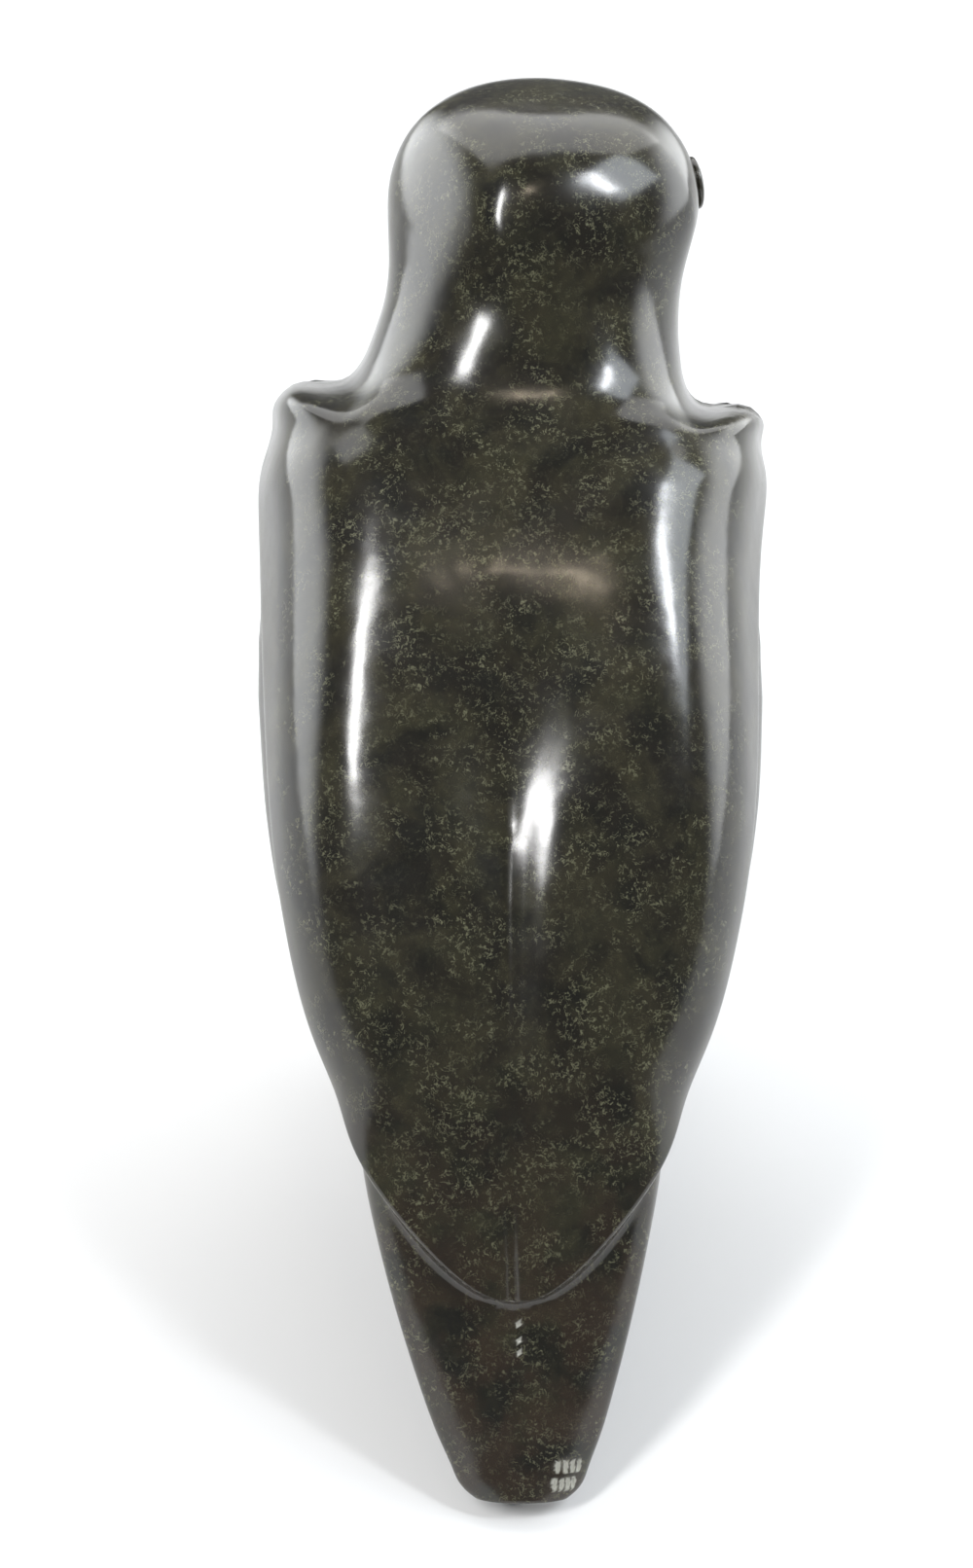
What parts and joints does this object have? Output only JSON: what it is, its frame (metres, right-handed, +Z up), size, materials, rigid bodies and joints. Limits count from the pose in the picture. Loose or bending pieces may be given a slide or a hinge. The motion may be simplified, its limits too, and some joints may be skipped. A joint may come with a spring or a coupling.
{
  "type": "bird carving",
  "caption": "Perched hawk carved and polished from one block of dark soapstone, wings folded to a point over the tail, head turned, standing on a low rock of the same stone.",
  "frame": {"origin": "on the flat underside of the rock, below the bird, in the bird's middle plane", "axes": "+Z up; the bird faces -Y and its tail points to +Y; +X is the bird's left"},
  "size_m": [0.0885, 0.1819, 0.1864],
  "materials": {
    "soapstone": "polished, near-black green-brown with fine grey-olive flecks"
  },
  "bodies": {
    "root": {"bird": "soapstone"}
  },
  "joints": []
}
